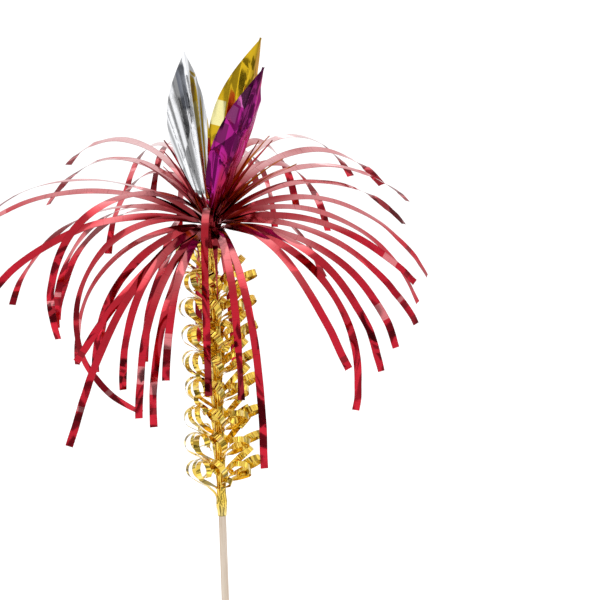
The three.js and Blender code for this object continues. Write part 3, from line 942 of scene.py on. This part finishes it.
class FilmSettings(bpy.types.PropertyGroup):
    thickness: number("Thickness", "Thickness of the film in mm", 0.06)
    width: number("Frond width", "Width of a frond in mm", 2.5)
    root_width: number("Root width", "Least width at the strip in mm", 2.1)
    flare: number("Flare", "Length over which the width settles in mm", 5)
    root_turn: number("Root turn", "Turn of the fronds near the crown in degrees", 26)
    spike_taper: factor("Spike taper", "How far short strands narrow to a point", 0.8)
    front_turn: factor("Front turn", "How far hanging fronds face the front", 0.65)
    wander: number("Wander", "Wander from the path in degrees", 1.2)
    twist: number("Twist", "Twist to and fro in degrees", 9)
    hanging_twist: number("Hanging twist", "How many times farther hanging fronds twist", 3.4)
    cup: number("Cup", "Curve across a strand in degrees", 7)
    kink_gap: number("Kink gap", "Usual distance between kinks in mm", 8)
    kink_angle: number("Kink angle", "Sharpest kink in degrees", 3.5)
    steps: whole("Frond steps", "Stations along a frond", 84)
    curl_width: number("Curl width", "Width of a trunk strand in mm", 2.1)
    curl_twist: number("Curl twist", "Twist of a curl in degrees", 9)
    more_curls: factor("More curls", "Share of the stretches between with a curl", 0.3)
    short_curl: factor("Short curl", "Least size of the curls in between", 0.45)
    foot_bulge: number("Foot bulge", "Bulge above the wrap's foot in mm", 0.35)
    lump: number("Lumps", "Unevenness of the wrap in mm", 0.06)
    curl_steps: whole("Curl steps", "Stations along a curl", 46)
    leaf_crinkle: number("Leaf crinkle", "Depth of a leaf's soft waves in mm", 0.015)
    leaf_steps: whole("Leaf steps", "Stations along a leaf", 110)
    leaf_columns: whole("Leaf columns", "Points across a leaf", 73)
    crinkle: factor("Crinkle", "Strength of the fine crinkles", 0.06)
    roughness: factor("Roughness", "Roughness of the film", 0.07)
    lacquer: factor("Lacquer", "Weight of the clear lacquer", 0.25)
    red: shade("Red", "Red film", (0.44, 0.01, 0.022))
    # Painted light on the red film: a reflection where a frond lies flat, a highlight on the highest arcs,
    # shade at the roots and in the folds, and glints near the tips
    red_arch_reflection: shade("Red arch", "Where a frond lies flat", (0.8, 0.32, 0.33))
    red_glare: shade("Red glare", "On top of the highest arcs", (0.97, 0.74, 0.74))
    red_painted_shade: shade("Red deep", "At the roots and in the folds", (0.21, 0.006, 0.012))
    red_glint: shade("Red glint", "Palest blocks near the tips", (0.88, 0.32, 0.34))
    red_tip: shade("Red tip", "Brighter red near the tips", (0.62, 0.008, 0.03))
    gold: shade("Gold", "Gold film of the trunk", (0.88, 0.61, 0.09))
    # Painted shade in the gold folds and on a facet of the gold leaf, a painted highlight beside the folds that
    # also makes the wrap's foot paler, and a painted highlight on a facet of the gold leaf
    gold_painted_shade: shade("Gold deep", "In the folds", (0.22, 0.14, 0.006))
    gold_pale: shade("Gold pale", "Beside the folds", (0.92, 0.78, 0.36))
    gold_glint: shade("Gold glint", "Pale facet of the gold leaf", (1.0, 0.93, 0.45))
    leaf_gold: shade("Leaf gold", "Gold film of the leaf", (0.66, 0.42, 0.008))
    silver: shade("Silver", "Silver film", (0.93, 0.94, 0.97))
    # Painted shade on a facet of the silver leaf
    silver_painted_shade: shade("Silver deep", "Dark facet of the silver leaf", (0.09, 0.1, 0.13))
    magenta: shade("Magenta", "Magenta film", (0.36, 0.005, 0.21))
    # Painted highlights and painted shade on the magenta leaf's facets, and a painted reflection of the red
    # film at its foot
    magenta_painted_highlight: shade("Magenta pale", "Pink facets", (0.58, 0.13, 0.42))
    magenta_painted_shade: shade("Magenta deep", "Dark facets", (0.09, 0.004, 0.055))
    magenta_foot_red_reflection: shade("Magenta foot", "Red glow at the leaf's foot", (0.352, 0.008, 0.0176))


class StickSettings(bpy.types.PropertyGroup):
    unevenness: factor("Unevenness", "Share by which the radius varies", 0.006)
    birch: shade("Birch", "Pale wood", (0.94, 0.8, 0.66))
    streak: shade("Streak", "Warmer streaks", (0.74, 0.56, 0.4))
    pore: shade("Pore", "Fine dark grain", (0.5, 0.35, 0.22))
    tape: shade("Tape", "Tape round the leaf tails", (0.74, 0.76, 0.74))


class StageSettings(bpy.types.PropertyGroup):
    distance: number("Distance", "Camera to aim point in mm", 900)
    elevation: number("Elevation", "Camera above the horizon in degrees", 9)
    roll: number("Roll", "Lean of the picture in degrees", 1.8)
    focal: number("Focal length", "In widths of the sensor", 4.56)
    aim_x: number("Aim X", "Aim point to the right of the stick in mm", 28.1)
    aim_z: number("Aim Z", "Aim point above the stick's point in mm", 143.8)
    world: factor("World light", "Strength of the light from all round", 0.8)
    softbox: number("Softbox", "Brightness of the softboxes", 0.9)
    floor: number("Floor radius", "Radius of the floor in mm", 9000)


def placed(name, data, place, turn):
    thing = linked(name, data)
    thing.location = place * MM
    thing.rotation_mode = "QUATERNION"
    thing.rotation_quaternion = turn
    return thing


def place_camera(stage):
    elevation = radians(stage.elevation)
    forward = Vector((0, cos(elevation), -sin(elevation)))
    aim = Vector((stage.aim_x, 0, stage.aim_z))
    data = bpy.data.cameras.new("camera")
    data.lens = data.sensor_width * stage.focal
    data.clip_start, data.clip_end = 0.01, 20
    level = forward.to_track_quat("-Z", "Y")
    turn = level @ Quaternion(UP, -radians(stage.roll))
    bpy.context.scene.camera = placed("camera", data, aim - forward * stage.distance, turn)


# Softboxes: place, size and share of the brightness, and the height on the stick that they look at
SOFTBOXES = {
    "softbox_top": ((-150, -250, 1100), (620, 620), 1),
    "softbox_left": ((-1000, -350, 520), (260, 700), 1),
    "softbox_right": ((1050, 150, 620), (240, 620), 0.8),
    "softbox_back": ((100, 950, 760), (600, 220), 1),
}
LAMP_AIM = 150


def softbox(name, place, size, brightness):
    data = bpy.data.lights.new(name, "AREA")
    data.shape = "RECTANGLE"
    data.size, data.size_y = size[0] * MM, size[1] * MM
    data.energy = brightness * pi * data.size * data.size_y
    toward = UP * LAMP_AIM - Vector(place)
    placed(name, data, Vector(place), toward.to_track_quat("-Z", "Y"))


def plane(name, corners, material):
    sheet = made(name, [corner * MM for corner in corners], [tuple(range(len(corners)))], material)
    return sheet


def white_share(graph):
    """1 for the rays that show the background: straight ones and those that mirrors and glass send on."""
    path = graph.node("LightPath")
    camera, glossy, through = (graph.outputs(path)[k] for k in (0, 3, 6))
    return graph.maths("MINIMUM", camera + glossy + through, 1)


def place_floor(stage):
    material = bpy.data.materials.new("floor")
    graph = Graph(material)
    paper = graph.node("BsdfDiffuse", None, Color=(0.8, 0.8, 0.8, 1))
    lit = graph.node("Emission", None, Strength=0.5)
    both = graph.node("AddShader", None, paper, lit)
    graph.finish(graph.node("MixShader", None, white_share(graph), paper, both))
    plane("floor", [outward(k * pi / 32) * stage.floor for k in range(64)], material)


# Screens that only the film sees: inner and outer edge as radius and height, and spans with their brightness,
# in degrees round the pick, 270 at the front
SCREENS = [
    ("near_screen", (34, 1), (230, 1), [
        (206, 250, 0.3), (264, 286, 0.6), (292, 338, 0.35), (10, 60, 0.5), (80, 130, 0.4),
    ]),
    ("floor_screen", (260, 1), (900, 1), [
        (224, 246, 0.12), (262, 288, 0.2), (310, 346, 0.5), (10, 50, 0.5), (70, 112, 0.5), (130, 200, 0.45),
    ]),
    ("wall_screen", (1300, 0), (1300, 360), [
        (232, 254, 0.1), (262, 274, 0.4), (286, 312, 0.25), (330, 375, 0.4), (40, 74, 0.7),
        (106, 140, 0.7), (172, 214, 0.3),
    ]),
    ("high_screen", (1300, 520), (1250, 700), [(246, 284, 0.2), (320, 350, 0.6), (190, 220, 0.6)]),
]


def place_screens(name, inner, outer, spans):
    """Dim screens round the pick with dark gaps between them, as foil is lit."""
    for k, (start, end, brightness) in enumerate(spans):
        material = bpy.data.materials.new(f"{name}_{k}")
        graph = Graph(material)
        graph.finish(graph.node("Emission", None, Strength=brightness))
        steps = max(2, round((end - start) / 6))
        angles = [radians(lerp(start, end, i / steps)) for i in range(steps + 1)]
        corners = [outward(a) * inner[0] + UP * inner[1] for a in angles]
        corners += [outward(a) * outer[0] + UP * outer[1] for a in reversed(angles)]
        screen = plane(f"{name}_{k}", corners, material)
        screen.visible_camera = screen.visible_diffuse = screen.visible_shadow = False


def place_world(stage):
    world = bpy.data.worlds.new("studio")
    bpy.context.scene.world = world
    graph = Graph(world)
    share = white_share(graph)
    strength = share * (1 - stage.world) + stage.world
    surface = graph.node("Background", None, Color=(1, 1, 1, 1), Strength=strength)
    graph.finish(surface, "OutputWorld")


class PickOperator:
    bl_options = {"REGISTER", "UNDO"}


class PICK_OT_stick(PickOperator, bpy.types.Operator):
    """Turn the birch stick"""

    bl_idname = "pick.stick"
    bl_label = "Stick"

    def execute(self, context):
        settings = context.scene.pick_stick
        stick(settings, birch_finish(settings))
        return {"FINISHED"}


class PICK_OT_trunk(PickOperator, bpy.types.Operator):
    """Wind the gold trunk and curl its strands"""

    bl_idname = "pick.trunk"
    bl_label = "Trunk"

    def execute(self, context):
        settings = context.scene.pick_film
        trunk(settings, film_finish("gold_film", settings.gold, settings, "curl"))
        return {"FINISHED"}


class PICK_OT_crown(PickOperator, bpy.types.Operator):
    """Wind the three strips of red fronds"""

    bl_idname = "pick.crown"
    bl_label = "Crown"

    def execute(self, context):
        settings = context.scene.pick_film
        material = film_finish("red_film", settings.red, settings, "frond")
        strips = (
            ("lower_frond_strip", LOWER_FRONDS, LOWER_SEAT, BAND_HEIGHT),
            ("middle_frond_strip", MIDDLE_FRONDS, MIDDLE_SEAT, BAND_HEIGHT + BAND_STEP),
            ("upper_frond_strip", UPPER_FRONDS + UPPER_SPIKES, UPPER_SEAT, BAND_HEIGHT + 2 * BAND_STEP),
        )
        for k, (name, fronds, seat, height) in enumerate(strips):
            frond_strip(name, fronds, seat, height, settings, material, first=100 * k)
        return {"FINISHED"}


class PICK_OT_leaves(PickOperator, bpy.types.Operator):
    """Fold the silver, gold and magenta leaves"""

    bl_idname = "pick.leaves"
    bl_label = "Leaves"

    def execute(self, context):
        settings = context.scene.pick_film
        colours = {"silver": settings.silver, "gold": settings.leaf_gold, "magenta": settings.magenta}
        for k, (colour, pleats) in enumerate(PLEATS.items()):
            material = film_finish(f"{colour}_leaf_foil", colours[colour], settings, "leaf")
            leaf(f"{colour}_leaf", settings, material, pleats, k + 1)
        return {"FINISHED"}


class PICK_OT_tape(PickOperator, bpy.types.Operator):
    """Give the tape round the leaf tails its finish"""

    bl_idname = "pick.tape"
    bl_label = "Tape"

    def execute(self, context):
        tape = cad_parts["leaf_tape"]
        tape.data.materials.clear()
        tape.data.materials.append(tape_finish(context.scene.pick_stick))
        return {"FINISHED"}


class PICK_OT_stage(PickOperator, bpy.types.Operator):
    """Set up the floor, the lamps and the camera"""

    bl_idname = "pick.stage"
    bl_label = "Stage"

    def execute(self, context):
        stage = context.scene.pick_stage
        place_camera(stage)
        place_floor(stage)
        for screen in SCREENS:
            place_screens(*screen)
        place_world(stage)
        for name, (place, size, brightness) in SOFTBOXES.items():
            softbox(name, place, size, stage.softbox * brightness)
        context.scene.view_settings.view_transform = "Standard"
        return {"FINISHED"}


class PICK_PT_panel(bpy.types.Panel):
    """Lists the steps that build the pick"""

    bl_idname = "PICK_PT_panel"
    bl_label = "Palm tree pick"
    bl_space_type = "VIEW_3D"
    bl_region_type = "UI"
    bl_category = "Palm Pick"

    def draw(self, context):
        for operator in OPERATORS:
            self.layout.operator(operator.bl_idname)
        for name in GROUPS:
            settings = getattr(context.scene, name)
            box = self.layout.box()
            for key in settings.bl_rna.properties.keys():
                if key not in ("rna_type", "name"):
                    box.prop(settings, key)


OPERATORS = (PICK_OT_stick, PICK_OT_trunk, PICK_OT_crown, PICK_OT_leaves, PICK_OT_tape, PICK_OT_stage)
GROUPS = {"pick_film": FilmSettings, "pick_stick": StickSettings, "pick_stage": StageSettings}
CLASSES = (*GROUPS.values(), *OPERATORS, PICK_PT_panel)


def register():
    for cls in CLASSES:
        bpy.utils.register_class(cls)
    for name, group in GROUPS.items():
        setattr(bpy.types.Scene, name, PointerProperty(type=group))


def unregister():
    for name in GROUPS:
        delattr(bpy.types.Scene, name)
    for cls in reversed(CLASSES):
        bpy.utils.unregister_class(cls)


def main():
    register()
    bpy.ops.pick.stage()
    bpy.ops.pick.stick()
    bpy.ops.pick.trunk()
    bpy.ops.pick.crown()
    bpy.ops.pick.leaves()
    bpy.ops.pick.tape()


if __name__ == "__main__":
    main()
